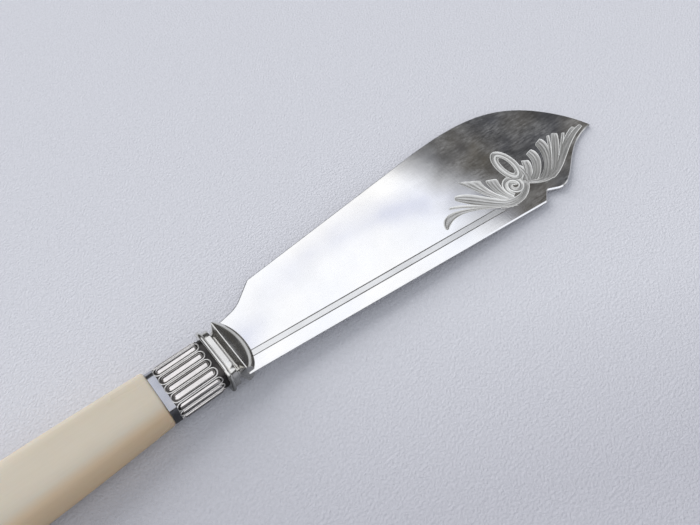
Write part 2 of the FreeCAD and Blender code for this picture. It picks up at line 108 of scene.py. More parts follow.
LOWER_LEAF = (
    (((138.8, -17.1), (133.9, -13.1), (133.2, -6.3), (135.2, -1.3)),
     ((138.4, -14.0), (136.6, -11.2), (138.9, -6.7), (139.9, -3.8)), 3),
    (((136.5, -15.9), (129.3, -10.1), (128.4, -2.2), (124.6, 5.9)),
     ((135.9, -14.1), (132.7, -8.0), (132.4, -3.6), (134.0, -0.1)), 3),
    (((134.7, -19.2), (126.7, -12.7), (120.4, -7.3), (117.6, -0.8)),
     ((136.5, -15.9), (128.1, -8.4), (126.7, -1.0), (118.8, 0.3)), 3),
    (((131.5, -16.6), (123.1, -10.5), (117.7, -5.4), (112.4, -3.2)),
     ((132.4, -15.7), (123.8, -9.7), (119.0, -4.1), (113.0, -2.5)), 1),
    (((137.1, -19.8), (125.2, -14.2), (115.6, -3.2), (105.1, -10.7)),
     ((135.9, -18.1), (123.1, -10.5), (108.0, 2.6), (104.3, -10.4)), 2),
    (((129.1, -16.0), (136.7, -21.2), (145.6, -19.2), (149.9, -12.7)),
     ((132.6, -12.7), (139.4, -17.6), (145.0, -15.9), (147.9, -11.2)), 4),
    (((148.1, -12.6), (150.1, -10.6), (151.2, -7.6), (151.2, -4.4)),
     ((150.2, -14.8), (152.8, -12.4), (154.1, -8.6), (153.4, -4.8)), 2),
)
LOOP_CENTRE = (148.6, -1.2)
LOOP_ANGLE = math.radians(85)
LOOP_EDGE = (9.2, 5.1)
LOOP_RING = (6.8, 3.1)
LOOP_HOLE = (5.0, 1.8)
SCROLL_CENTRE = (143.1, -11.0)
SCROLL_RADII = (5.2, 0.9)
SCROLL_START = math.radians(225)
SCROLL_TURNS = -1.67
SCROLL_STEPS = 16
LINES = (((12.6, -4.5), (127.2, -15.0)), ((12.0, -6.9), (131.1, -18.1)))
STRIP_DEPTH = 0.02

# Cuts: a shallow one, pale with painted highlight, leaves the rim of each form, and a deeper satin one inside
# it makes the floor
CUT_LIFT = 0.03
SIDE_STEEPNESS = 4
END_STEEPNESS = 14
CUT_STEPS = 24
RIM_OUTSET = 0.27
RIM_DEPTH = 0.07
RIM_FACES = 8
FLOOR_INSET = 0.1
FLOOR_DEPTH = 0.26
FLOOR_FACES = 16
VEIN_RISE = 0.4
SCROLL_RIM = (2.3, 0.1)
SCROLL_FLOOR = (1.5, 0.22)
SCROLL_ENDS = 0.6
LOOP_RIM_DEPTH = 0.1
LOOP_FLOOR_DEPTH = 0.24
LOOP_INSETS = (0.3, -0.25)
LINE_WIDTH = 0.5
LINE_DEPTH = 0.12
LINE_ENDS = 0.8
ROUND_TOOL_WIDTH = math.sqrt(0.75)

# Bolster
FLANGE_HALF_WIDTH = 11.9
FLANGE_HALF_HEIGHT = 8.2
FLANGE_RADIUS = 5.2
FLANGE_THICKNESS = 1.5
RIM_ROUNDING = 0.45
RIM_STEPS = 8
STEP_INSET = 0.9
STEP_END = 3.9
STEP_EASING = 0.22
SEAM_DEPTH = 0.12
SEAM_WIDTH = 0.18
SEAM_END = 0.3
WAIST_X = 4.8
WAIST = (10.0, 3.9)
SHOULDER = (10.5, 5.2)
WAIST_RADIUS = 3.5
FLARE_POWER = 1.15
FLARE_STEPS = 14
RIDGE = (11.35, 5.5)
RIDGE_RADIUS = 0.3
RIDGE_START = 6.85
RIDGE_END = 7.35
RIDGE_EASING = 0.1
DOME_REACH = 6.2
DOME_HALF_SPAN = 12.3
DOME_CREST = (0.45, 0.86)
DOME_BROW = (0.92, 0.62)
DOME_ROWS = 28
DOME_COLUMNS = 60
TANG_LENGTH = 62.0
TANG_ROOT = (2.5, 1.8)
TANG_END = (1.6, 1.2)

# Ferrule
FERRULE_LENGTH = 22.0
FERRULE_HALF_WIDTH = 9.1
FERRULE_HALF_HEIGHT = 6.6
FERRULE_RADIUS = 3.9
FERRULE_WALL = 0.6
BAND_LENGTH = 2.9
BAND_RISE = 0.35
BAND_EASING = 0.1
FERRULE_GAP = 0.02
LOBE_COUNT = 14
BAR_ENDS = (-18.3, -2.3)
BAR_HALF_WIDTH = 1.25
BAR_RISE = 0.7
BAR_BED = 0.3
BAR_BREADTH = 0.95
WIRE_ENDS = (-19.3, -1.5)
WIRE_HALF_WIDTH = 1.72
WIRE_HEIGHT = 0.16
WIRE_RADIUS = 0.24

# Handle
HEIGHT_RATIO = 0.735
SHOULDER_OFFSET = 0.6
HANDLE_STATIONS = ((1.0, 21.0), (12.0, 22.1), (38.0, 24.2), (70.0, 25.4), (99.2, 25.8))
BUTT_ROUNDING = 6.0
ROUNDING_ANGLE = math.radians(75)
HANDLE_CANT = math.radians(1.0)
SQUARENESS = 3.2
NECK_INSET = 0.65
NECK_END = -0.3
BORE_RADIUS = 3.4
BORE_DEPTH = 66.0

# Steps to a quarter turn in the corners of the bolster and the ferrule, and how near points are welded
CORNER_STEPS = 14
COVE_CORNER_STEPS = 10
WELD = 0.0005


# Hand tools: small steps that each piece uses

def pick(*pieces):
    bpy.ops.object.select_all(action="DESELECT")
    for piece in pieces:
        piece.select_set(True)
    bpy.context.view_layer.objects.active = pieces[0]


def named(name):
    piece = bpy.context.object
    piece.name = name
    piece.data.name = name
    return piece


def edit(piece, selected):
    """Edit mode with all of the piece selected, or nothing and faces ready to be picked."""
    pick(piece)
    bpy.ops.object.mode_set(mode="EDIT")
    bpy.ops.mesh.select_mode(type="VERT" if selected else "FACE")
    bpy.ops.mesh.select_all(action="SELECT" if selected else "DESELECT")


def done():
    bpy.ops.object.mode_set(mode="OBJECT")


def outward(piece):
    edit(piece, True)
    bpy.ops.mesh.normals_make_consistent(inside=False)
    done()


def select_faces(piece, wanted):
    """From object mode: selects the faces whose centre and normal pass the test."""
    edit(piece, False)
    done()
    for polygon in piece.data.polygons:
        polygon.select = wanted(polygon)
    bpy.ops.object.mode_set(mode="EDIT")


def combine(piece, other, operation):
    """The piece joined with, or cut by, the other, which is used up; cut faces keep the cutter's finish."""
    pick(piece)
    modifier = piece.modifiers.new("combine", "BOOLEAN")
    modifier.operation = operation
    modifier.solver = "EXACT"
    modifier.material_mode = "TRANSFER"
    modifier.object = other
    bpy.ops.object.modifier_apply(modifier=modifier.name)
    bpy.data.objects.remove(other)


def finish(piece, node, angle):
    """Smooths the piece but for its creases and level faces, lays it at rest, and gives it to the frame."""
    pick(piece)
    bpy.ops.object.shade_smooth_by_angle(angle=math.radians(angle))
    for polygon in piece.data.polygons:
        if abs(polygon.normal.z) > LEVEL:
            polygon.use_smooth = False
    piece.data.transform(LAY)
    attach(piece, "root")
    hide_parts(node)


def arc_round(before, corner, after, radius, steps=10):
    """Points of the arc that rounds a corner."""
    here = Vector(corner)
    back = (Vector(before) - here).normalized()
    onward = (Vector(after) - here).normalized()
    half = back.angle(onward) / 2
    centre = here + (back + onward).normalized() * (radius / math.sin(half))
    start = here + back * (radius / math.tan(half)) - centre
    end = here + onward * (radius / math.tan(half)) - centre
    sweep = start.angle_signed(end)
    points = []
    for i in range(steps + 1):
        turn = Matrix.Rotation(-sweep * i / steps, 2)
        points.append(centre + turn @ start)
    return points


def pulled(poles, steps):
    """Points of the smooth curve that the poles pull on."""
    points = []
    for i in range(steps + 1):
        t = i / steps
        row = [Vector(p) for p in poles]
        while len(row) > 1:
            row = [a.lerp(b, t) for a, b in zip(row, row[1:])]
        points.append(row[0])
    return points


def beyond(start, end, distance):
    return Vector(end) + (Vector(end) - Vector(start)).normalized() * distance


def rounded_rectangle(half_width, half_height, radius, steps=8):
    """A closed outline as (y, z) points, counter-clockwise from the right-hand side."""
    points = []
    for quarter in range(4):
        side = 1 if quarter in (0, 3) else -1
        up = 1 if quarter < 2 else -1
        for i in range(steps + 1):
            angle = math.pi / 2 * (quarter + i / steps)
            points.append((
                side * (half_width - radius) + radius * math.cos(angle),
                up * (half_height - radius) + radius * math.sin(angle),
            ))
    return points


def ring_solid(name, outline, stations, tube=False):
    """A solid drawn out along X. A station is x, a shift in Y, and the outline's scale in Y and in Z."""
    bpy.ops.mesh.primitive_circle_add(
        vertices=len(outline), radius=1, fill_type="NOTHING" if tube else "NGON")
    piece = named(name)
    x, shift, wide, high = stations[0]
    for vertex, (y, z) in zip(piece.data.vertices, outline):
        vertex.co = (x, y * wide + shift, z * high)
    edit(piece, True)
    for before, after in zip(stations, stations[1:]):
        step = (after[0] - before[0], after[1] - before[1], 0)
        bpy.ops.mesh.extrude_region_move(TRANSFORM_OT_translate={"value": step})
        bpy.ops.transform.resize(
            value=(1, after[2] / before[2], after[3] / before[3]),
            center_override=(after[0], after[1], 0))
    if tube:
        bpy.ops.mesh.select_all(action="SELECT")
        bpy.ops.mesh.remove_doubles(threshold=WELD)
    done()
    outward(piece)
    return piece


def skinned(name, rings):
    """A solid through rings along X; a ring is its x and its closed outline, all with as many points."""
    around, lengthways = len(rings[0][1]), len(rings) - 1
    bpy.ops.object.select_all(action="DESELECT")
    bpy.ops.mesh.primitive_grid_add(x_subdivisions=around, y_subdivisions=lengthways, size=2)
    piece = named(name)
    for vertex in piece.data.vertices:
        x, outline = rings[round((vertex.co.y + 1) / 2 * lengthways)]
        vertex.co = (x, *outline[round((vertex.co.x + 1) / 2 * around) % around])
    edit(piece, True)
    bpy.ops.mesh.remove_doubles(threshold=WELD)
    bpy.ops.mesh.fill_holes(sides=0)
    done()
    outward(piece)
    return piece


# Finishes

def blank(name):
    material = bpy.data.materials.new(name)
    material.use_nodes = True
    tree = material.node_tree
    tree.nodes.clear()
    shader = tree.nodes.new("ShaderNodeBsdfPrincipled")
    output = tree.nodes.new("ShaderNodeOutputMaterial")
    tree.links.new(shader.outputs["BSDF"], output.inputs["Surface"])
    return material, tree, shader


def grid_of(tree, stretch=(1, 1, 1), turn=0.0):
    """The piece's own coordinates, in metres, stretched and turned about Z."""
    coordinates = tree.nodes.new("ShaderNodeTexCoord")
    mapping = tree.nodes.new("ShaderNodeMapping")
    mapping.inputs["Scale"].default_value = stretch
    mapping.inputs["Rotation"].default_value = (0, 0, turn)
    tree.links.new(coordinates.outputs["Object"], mapping.inputs["Vector"])
    return mapping.outputs["Vector"]


def split(tree, vector):
    """The three parts of a vector."""
    node = tree.nodes.new("ShaderNodeSeparateXYZ")
    tree.links.new(vector, node.inputs["Vector"])
    return node.outputs["X"], node.outputs["Y"], node.outputs["Z"]


def noise(tree, vector, scale, detail=2.0):
    texture = tree.nodes.new("ShaderNodeTexNoise")
    texture.inputs["Scale"].default_value = scale
    texture.inputs["Detail"].default_value = detail
    tree.links.new(vector, texture.inputs["Vector"])
    return texture.outputs["Fac"]


def spread(tree, value, low, high, from_low=0.35, from_high=0.65):
    """The value's range, the middle third if none is given, drawn out to run from low to high."""
    node = tree.nodes.new("ShaderNodeMapRange")
    node.inputs["From Min"].default_value = from_low
    node.inputs["From Max"].default_value = from_high
    node.inputs["To Min"].default_value = low
    node.inputs["To Max"].default_value = high
    tree.links.new(value, node.inputs["Value"])
    return node.outputs["Result"]


def tinted(tree, value, *stops):
    """A colour that follows the value through the stops, each a place and a colour."""
    node = tree.nodes.new("ShaderNodeValToRGB")
    elements = node.color_ramp.elements
    while len(elements) < len(stops):
        elements.new(0.5)
    for element, (place, colour) in zip(elements, stops):
        element.position = place
        element.color = (*colour, 1)
    tree.links.new(value, node.inputs["Fac"])
    return node.outputs["Color"]


def reckoned(tree, operation, a, b):
    """The sum, product or power of two values, or the larger; the second may be a plain number."""
    node = tree.nodes.new("ShaderNodeMath")
    node.operation = operation
    tree.links.new(a, node.inputs[0])
    if isinstance(b, float):
        node.inputs[1].default_value = b
    else:
        tree.links.new(b, node.inputs[1])
    return node.outputs["Value"]


def along(tree, vector, line):
    """How far the vector reaches along the line."""
    node = tree.nodes.new("ShaderNodeVectorMath")
    node.operation = "DOT_PRODUCT"
    tree.links.new(vector, node.inputs[0])
    node.inputs[1].default_value = line
    return node.outputs["Value"]


def weighed(tree, x, y, shares):
    """The sum of a share of x and a share of y."""
    return reckoned(tree, "ADD", reckoned(tree, "MULTIPLY", x, shares[0]),
                    reckoned(tree, "MULTIPLY", y, shares[1]))


def mixed(tree, share, a, b, way="MIX"):
    """Colour a with a share of colour b laid on it; the share may be a plain number, and b a plain colour."""
    node = tree.nodes.new("ShaderNodeMix")
    node.data_type = "RGBA"
    node.blend_type = way
    if isinstance(share, float):
        node.inputs["Factor"].default_value = share
    else:
        tree.links.new(share, node.inputs["Factor"])
    tree.links.new(a, node.inputs["A"])
    if isinstance(b, tuple):
        node.inputs["B"].default_value = (*b, 1)
    else:
        tree.links.new(b, node.inputs["B"])
    return node.outputs["Result"]


def raised(tree, shader, *heights):
    """Fine relief on the shader's normal; each height is a value, a strength and a depth in metres."""
    normal = None
    for value, strength, depth in heights:
        node = tree.nodes.new("ShaderNodeBump")
        node.inputs["Strength"].default_value = strength
        node.inputs["Distance"].default_value = depth
        tree.links.new(value, node.inputs["Height"])
        if normal is not None:
            tree.links.new(normal, node.inputs["Normal"])
        normal = node.outputs["Normal"]
    tree.links.new(normal, shader.inputs["Normal"])


# Depth of a hairline scratch, in metres
SCRATCH_DEPTH = 0.00002


def silver(name, bright, dull, smooth, rough, scratch=0.1, metal=1.0, haze=0.0):
    """Silver plate: two tones in soft patches, a varied polish, fine hairline scratches and a milky haze."""
    material, tree, shader = blank(name)
    shader.inputs["Metallic"].default_value = metal
    patches = noise(tree, grid_of(tree), scale=90, detail=4)
    tree.links.new(tinted(tree, patches, (0.35, dull), (0.65, bright)), shader.inputs["Base Color"])
    smudges = noise(tree, grid_of(tree, stretch=(1, 1.8, 1), turn=0.5), scale=60, detail=5)
    tree.links.new(spread(tree, smudges, smooth, rough), shader.inputs["Roughness"])
    hairlines = noise(tree, grid_of(tree, stretch=(1, 22, 1), turn=0.35), scale=160, detail=3)
    crossed = noise(tree, grid_of(tree, stretch=(26, 1, 1), turn=-0.25), scale=130, detail=3)
    raised(tree, shader, (hairlines, scratch, SCRATCH_DEPTH), (crossed, scratch, SCRATCH_DEPTH))
    if haze:
        rubbed = noise(tree, grid_of(tree, stretch=(1, 5, 1), turn=1.3), scale=260, detail=5)
        blotches = noise(tree, grid_of(tree), scale=130, detail=4)
        streaks = spread(tree, rubbed, 0, 1, 0.3, 0.75)
        cloudy = reckoned(tree, "MULTIPLY", streaks, spread(tree, blotches, 0.2, 1))
        specks = spread(tree, noise(tree, grid_of(tree), scale=900, detail=2), 0, 1.2, 0.72, 0.78)
        milky = reckoned(tree, "MAXIMUM", cloudy, specks)
        tree.links.new(spread(tree, milky, metal, metal - haze, 0, 1), shader.inputs["Metallic"])
    return material


# Ivory: its two creams, the tan painted on its sides as the warm tone they take in shade, where it lies and
# how deep the grain is, in metres
CREAM_DARK = (0.60, 0.535, 0.435)
CREAM_LIGHT = (0.64, 0.575, 0.475)
TAN = (0.67, 0.505, 0.33)
HANDLE_TAPER = -0.041
WARM_SHADE_NEAR = (-0.0086, -0.0058)
WARM_SHADE_FAR = (0.0068, 0.0088)
GRAIN_DEPTH = 0.00003


def ivory():
    """Creamy ivory with hardly any grain, in soft patches, its sides painted tan as warm shade, under an even
    polish.
    """
    material, tree, shader = blank("ivory")
    grain = noise(tree, grid_of(tree, stretch=(6, 160, 160)), scale=9, detail=3)
    patches = noise(tree, grid_of(tree, stretch=(1, 2, 2)), scale=24, detail=3)
    body = tinted(tree, patches, (0.3, CREAM_DARK), (0.7, CREAM_LIGHT))
    x, y, _ = split(tree, grid_of(tree))
    # Painted warm shade: tan laid on both long sides, fully on the near side and half on the far side
    taper = reckoned(tree, "MULTIPLY", x, HANDLE_TAPER)
    near = spread(tree, reckoned(tree, "ADD", y, taper), 1, 0, *WARM_SHADE_NEAR)
    far = spread(tree, y, 0, 0.5, *WARM_SHADE_FAR)
    uneven = spread(tree, patches, 0.8, 1)
    painted_warm_sides = reckoned(tree, "MULTIPLY", reckoned(tree, "MAXIMUM", near, far), uneven)
    body = mixed(tree, painted_warm_sides, body, TAN)
    lines = tinted(tree, grain, (0.35, (0.95, 0.94, 0.92)), (0.6, (1, 1, 1)))
    tree.links.new(mixed(tree, 0.35, body, lines, "MULTIPLY"), shader.inputs["Base Color"])
    tree.links.new(spread(tree, patches, 0.26, 0.36), shader.inputs["Roughness"])
    shader.inputs["IOR"].default_value = 1.56
    shader.inputs["Subsurface Weight"].default_value = 0.2
    shader.inputs["Subsurface Radius"].default_value = (0.006, 0.003, 0.0015)
    raised(tree, shader, (grain, 0.06, GRAIN_DEPTH))
    return material


def resin():
    material, tree, shader = blank("resin")
    grains = noise(tree, grid_of(tree), scale=400, detail=4)
    brown = tinted(tree, grains, (0.3, (0.07, 0.05, 0.04)), (0.7, (0.16, 0.12, 0.09)))
    tree.links.new(brown, shader.inputs["Base Color"])
    shader.inputs["Roughness"].default_value = 0.8
    return material


# Each silver has a name, a bright and a dull tone, and a roughness where it is smooth and where it is rough
PLATE = silver("polished_plate", (0.94, 0.935, 0.93), (0.90, 0.895, 0.89), 0.03, 0.09, haze=0.22)
SATIN = silver("chased_satin", (0.725, 0.72, 0.70), (0.58, 0.575, 0.555), 0.30, 0.42, scratch=0.5, metal=0.8)
BRUSHED = silver("brushed_strip", (0.84, 0.84, 0.83), (0.78, 0.78, 0.77), 0.16, 0.26)
# Painted highlight: a pale, barely metallic silver on the cut rims, for the light their walls catch
CUT_PAINTED_HIGHLIGHT = silver("cut_painted_highlight", (0.96, 0.96, 0.95), (0.90, 0.90, 0.88), 0.26, 0.38, scratch=0.2, metal=0.35)
LINE_CUT = silver("engraved_line", (0.30, 0.29, 0.28), (0.20, 0.19, 0.18), 0.35, 0.5, scratch=0.3)
BOLSTER_PLATE = silver("cast_plate", (0.84, 0.83, 0.80), (0.68, 0.67, 0.64), 0.10, 0.20)
# Painted reflection: the band is a darker, bluer silver that stands for the bluish-grey reflection it shows
BAND_PAINTED_REFLECTION = silver("band_painted_reflection", (0.52, 0.525, 0.56), (0.38, 0.385, 0.42), 0.12, 0.22)
FERRULE_PLATE = silver("ferrule_plate", (0.94, 0.90, 0.88), (0.76, 0.73, 0.71), 0.12, 0.22)
# Painted shade: a dark grey for the bevels that face the point or the curved edge, for the dark line along
# those edges
BEVEL_SHADE = silver("bevel_painted_shade", (0.34, 0.34, 0.34), (0.24, 0.24, 0.24), 0.3, 0.4, scratch=0.3)
# Painted highlight: a paler, less metallic silver, so the wire looks light all over instead of catching a
# thin highlight
WIRE = silver("wire_painted_highlight", (0.98, 0.96, 0.94), (0.88, 0.86, 0.84), 0.22, 0.32, scratch=0.2, metal=0.7)
TARNISH = silver("tarnished_ground", (0.13, 0.12, 0.115), (0.045, 0.045, 0.045), 0.35, 0.6, scratch=0.8)
IVORY = ivory()
RESIN = resin()


# Making the blade

def blade_outline():
    """The outline seen from above, counter-clockwise from the root's back corner."""
    back_root = (ROOT_X, -ROOT_HALF_WIDTH)
    front_root = (ROOT_X, ROOT_HALF_WIDTH)
    points = [Vector(back_root)]
    points += arc_round(back_root, BACK_CORNER, NOTCH, BACK_CORNER_RADIUS)
    points += arc_round(BACK_CORNER, NOTCH, BULGE_START, NOTCH_RADIUS)
    bulge_pole = beyond(NOTCH, BULGE_START, BULGE_PULL)
    points += pulled((BULGE_START, bulge_pole, *OGEE_POLES, BLADE_POINT), OGEE_STEPS)
    edge_pole = beyond(HEEL, STRAIGHT_EDGE_END, BELLY_PULL)
    belly = (BLADE_POINT, *reversed(BELLY_POLES), edge_pole, STRAIGHT_EDGE_END)
    points += pulled(belly, BELLY_STEPS)[1:]
    points += arc_round(STRAIGHT_EDGE_END, HEEL, ROOT_BEND, HEEL_RADIUS)
    points += arc_round(HEEL, ROOT_BEND, front_root, ROOT_BEND_RADIUS, ROOT_STEPS)
    points.append(Vector(front_root))
    return points


def plate():
    """The plain blade with its bevels, painted dark as shade where they face the point or the curved edge."""
    outline = blade_outline()
    bpy.ops.mesh.primitive_circle_add(vertices=len(outline), radius=1, fill_type="NGON")
    piece = named("blade_plate")
    land = FACE - EDGE_BEVEL
    for vertex, point in zip(piece.data.vertices, outline):
        vertex.co = (point.x, point.y, -land)
    edit(piece, True)
    bpy.ops.mesh.extrude_region_move(TRANSFORM_OT_translate={"value": (0, 0, 2 * land)})
    done()
    outward(piece)
    for side in (1, -1):
        select_faces(piece, lambda f: f.normal.z * side > 0.9)
        bpy.ops.mesh.inset(thickness=EDGE_BEVEL, depth=EDGE_BEVEL, use_even_offset=True)
        done()
    piece.data.materials.append(PLATE)
    piece.data.materials.append(BEVEL_SHADE)
    # Painted shade: the bevels that face the point or the curved edge take the dark grey
    for polygon in piece.data.polygons:
        on_bevel = BEVEL_TILT[0] < polygon.normal.z < BEVEL_TILT[1]
        if on_bevel and (polygon.normal.x > BEVEL_SHADE_AHEAD or polygon.normal.y > BEVEL_SHADE_ASIDE):
            polygon.material_index = 1
    return piece


def along_poles(poles, s):
    """The place and the way ahead at a share s of the smooth curve that four poles pull on."""
    a, b, c, d = (Vector(p) for p in poles)
    place = a * (1 - s) ** 3 + b * (3 * s * (1 - s) ** 2) + c * (3 * s * s * (1 - s)) + d * s ** 3
    ahead = (b - a) * (1 - s) ** 2 + (c - b) * (2 * s * (1 - s)) + (d - c) * s * s
    return place, ahead.normalized()


def dish(lobe, margin, depth, ribbing, finish_of, faces):
    """A dished cut, so many faces wide, between a lobe's two edges.

    The margin makes it wider and longer, or smaller if it is negative, and ribbing raises the lobe's veins.
    """
    bpy.ops.object.select_all(action="DESELECT")
    bpy.ops.mesh.primitive_grid_add(x_subdivisions=faces, y_subdivisions=CUT_STEPS, size=2)
    piece = named("gouge")
    near_edge, far_edge, veins = lobe
    for vertex in piece.data.vertices:
        across, s = vertex.co.x, (vertex.co.y + 1) / 2
        near, ahead = along_poles(near_edge, s)
        far, _ = along_poles(far_edge, s)
        middle, half = (near + far) / 2, (far - near) / 2
        grown = half * (1 + margin / half.length)
        place = middle + grown * across + ahead * (margin * (2 * s - 1))
        wall = (1 - abs(across) ** SIDE_STEEPNESS) * (1 - abs(2 * s - 1) ** END_STEEPNESS)
        vein = 1 - ribbing * abs(math.cos(math.pi * veins * (across + 1) / 2))
        vertex.co = (place.x, place.y, FACE + CUT_LIFT - (depth * vein + CUT_LIFT) * wall)
    edit(piece, True)
    bpy.ops.mesh.extrude_region_move(TRANSFORM_OT_translate={"value": (0, 0, 1)})
    done()
    outward(piece)
    piece.data.materials.append(finish_of)
    return piece


def groove(points, width, depth, finish_of, ends):
    """A round-bottomed cut along a smooth line, thinning towards both ends to the share given."""
    bpy.ops.curve.primitive_nurbs_path_add()
    path = bpy.context.object
    path.data.splines.clear()
    spline = path.data.splines.new("NURBS")
    spline.points.add(len(points) - 1)
    for i, (knot, place) in enumerate(zip(spline.points, points)):
        knot.co = (place[0], place[1], 0, 1)
        middle = 1 - abs(2 * i / (len(points) - 1) - 1)
        knot.radius = ends + (1 - ends) * min(1, 2 * middle)
    spline.order_u = min(4, len(points))
    spline.use_endpoint_u = True
    spline.resolution_u = 6
    radius = width / 2 / ROUND_TOOL_WIDTH
    path.data.dimensions = "3D"
    path.data.bevel_depth = radius
    path.data.bevel_resolution = 4
    path.data.use_fill_caps = True
    pick(path)
    bpy.ops.object.convert(target="MESH")
    piece = named("graver")
    for vertex in piece.data.vertices:
        vertex.co.z = FACE + depth + vertex.co.z / radius * (2 * depth)
    outward(piece)
    piece.data.materials.clear()
    piece.data.materials.append(finish_of)
    return piece


def loop_cut(outer, inner, depth, finish_of):
    """A round-bottomed cut round the loop, between two ovals of a half length and a half width each."""
    thick = 0.25
    bpy.ops.mesh.primitive_torus_add(
        major_segments=72, minor_segments=12, major_radius=1, minor_radius=thick)
    piece = named("ring_graver")
    turn = Matrix.Rotation(LOOP_ANGLE, 2)
    for vertex in piece.data.vertices:
        x, y, up = vertex.co
        angle = math.atan2(y, x)
        across = (math.hypot(x, y) - 1) / thick / ROUND_TOOL_WIDTH
        share = 0.5 + across / 2
        half_length = inner[0] + (outer[0] - inner[0]) * share
        half_width = inner[1] + (outer[1] - inner[1]) * share
        on_oval = Vector((half_length * math.cos(angle), half_width * math.sin(angle)))
        place = Vector(LOOP_CENTRE) + turn @ on_oval
        vertex.co = (place.x, place.y, FACE + depth + up / thick * (2 * depth))
    outward(piece)
    piece.data.materials.append(finish_of)
    return piece


def inset_oval(oval, inset):
    return oval[0] - inset, oval[1] - inset


def volute():
    points = []
    for i in range(SCROLL_STEPS + 1):
        angle = SCROLL_START + 2 * math.pi * SCROLL_TURNS * i / SCROLL_STEPS
        radius = SCROLL_RADII[0] + (SCROLL_RADII[1] - SCROLL_RADII[0]) * i / SCROLL_STEPS
        points.append(Vector(SCROLL_CENTRE) + radius * Vector((math.cos(angle), math.sin(angle))))
    return points


def straight(ends, count=6):
    return [Vector(ends[0]).lerp(Vector(ends[1]), i / (count - 1)) for i in range(count)]


def band_between_lines():
    """The strip between the two long lines, a hair below the face."""
    above_face = 0.5
    bpy.ops.mesh.primitive_cube_add(size=1)
    piece = named("strip")
    for vertex in piece.data.vertices:
        line = LINES[1 if vertex.co.y < 0 else 0]
        end = line[1 if vertex.co.x > 0 else 0]
        vertex.co = (*end, FACE + (above_face if vertex.co.z > 0 else -STRIP_DEPTH))
    outward(piece)
    piece.data.materials.append(BRUSHED)
    return piece


def blade():
    piece = plate()
    combine(piece, band_between_lines(), "DIFFERENCE")
    lobes = UPPER_LEAF + LOWER_LEAF
    for lobe in lobes:
        combine(piece, dish(lobe, RIM_OUTSET, RIM_DEPTH, 0, CUT_PAINTED_HIGHLIGHT, RIM_FACES), "DIFFERENCE")
    combine(piece, groove(volute(), *SCROLL_RIM, CUT_PAINTED_HIGHLIGHT, SCROLL_ENDS), "DIFFERENCE")
    combine(piece, loop_cut(LOOP_EDGE, LOOP_HOLE, LOOP_RIM_DEPTH, CUT_PAINTED_HIGHLIGHT), "DIFFERENCE")
    for lobe in lobes:
        combine(piece, dish(lobe, -FLOOR_INSET, FLOOR_DEPTH, VEIN_RISE, SATIN, FLOOR_FACES), "DIFFERENCE")
    for outer, inner in ((LOOP_EDGE, LOOP_RING), (LOOP_RING, LOOP_HOLE)):
        edges = (inset_oval(outer, LOOP_INSETS[0]), inset_oval(inner, LOOP_INSETS[1]))
        combine(piece, loop_cut(*edges, LOOP_FLOOR_DEPTH, SATIN), "DIFFERENCE")
    combine(piece, groove(volute(), *SCROLL_FLOOR, SATIN, SCROLL_ENDS), "DIFFERENCE")
    for line in LINES:
        combine(piece, groove(straight(line), LINE_WIDTH, LINE_DEPTH, LINE_CUT, LINE_ENDS), "DIFFERENCE")
    finish(piece, "blade", BLADE_CREASE)


# Making the bolster

def hollow(outer, inner, steps=8):
    """Sizes down a hollow quarter round: x, half width, half height and corner radius."""
    sizes = []
    for i in range(steps + 1):
        turn = math.pi / 2 * i / steps
        x = outer[0] + (inner[0] - outer[0]) * (1 - math.cos(turn))
        sizes.append((x, *(a + (b - a) * math.sin(turn) for a, b in zip(outer[1:], inner[1:]))))
    return sizes


def collar():
    """The flange with its round rim, and the thick step in front of it with its edge eased."""
    soft = STEP_EASING
    half = FLANGE_THICKNESS / 2
    profile = []
    for i in range(RIM_STEPS + 1):
        turn = math.pi * i / RIM_STEPS
        profile.append((half - half * math.cos(turn), RIM_ROUNDING * (1 - math.sin(turn))))
    profile += [(FLANGE_THICKNESS, STEP_INSET + SEAM_DEPTH)]
    profile += [(FLANGE_THICKNESS + SEAM_WIDTH, STEP_INSET + SEAM_DEPTH)]
    profile += [(FLANGE_THICKNESS + SEAM_END, STEP_INSET)]
    profile += [(STEP_END - soft, STEP_INSET), (STEP_END - 0.3 * soft, STEP_INSET + 0.3 * soft)]
    profile += [(STEP_END, STEP_INSET + soft)]
    stations = []
    for x, inset in profile:
        stations.append((x, 0, 1 - inset / FLANGE_HALF_WIDTH, 1 - inset / FLANGE_HALF_HEIGHT))
    outline = rounded_rectangle(FLANGE_HALF_WIDTH, FLANGE_HALF_HEIGHT, FLANGE_RADIUS, CORNER_STEPS)
    return ring_solid("bolster_plate", outline, stations)


def cove():
    """The hollow neck: rounded where it leaves the step, and flaring to the square corners of the ridge."""
    soft = RIDGE_EASING
    inside_step = 0.4
    neck = (WAIST_X, *WAIST, WAIST_RADIUS)
    edge = (RIDGE_START, RIDGE[0] - soft, RIDGE[1] - soft, RIDGE_RADIUS)
    sizes = [(STEP_END - inside_step, *SHOULDER, WAIST_RADIUS)]
    sizes += hollow((STEP_END, *SHOULDER, WAIST_RADIUS), neck)
    for i in range(1, FLARE_STEPS + 1):
        run = i / FLARE_STEPS
        sizes.append((neck[0] + (edge[0] - neck[0]) * run,
                      *(a + (b - a) * run ** FLARE_POWER for a, b in zip(neck[1:], edge[1:]))))
    sizes += [(RIDGE_START + soft, *RIDGE, RIDGE_RADIUS), (RIDGE_END - soft, *RIDGE, RIDGE_RADIUS)]
    sizes += [(RIDGE_END, RIDGE[0] - soft, RIDGE[1] - soft, RIDGE_RADIUS)]
    rings = [(x, rounded_rectangle(w, h, r, COVE_CORNER_STEPS)) for x, w, h, r in sizes]
    return skinned("cove", rings)


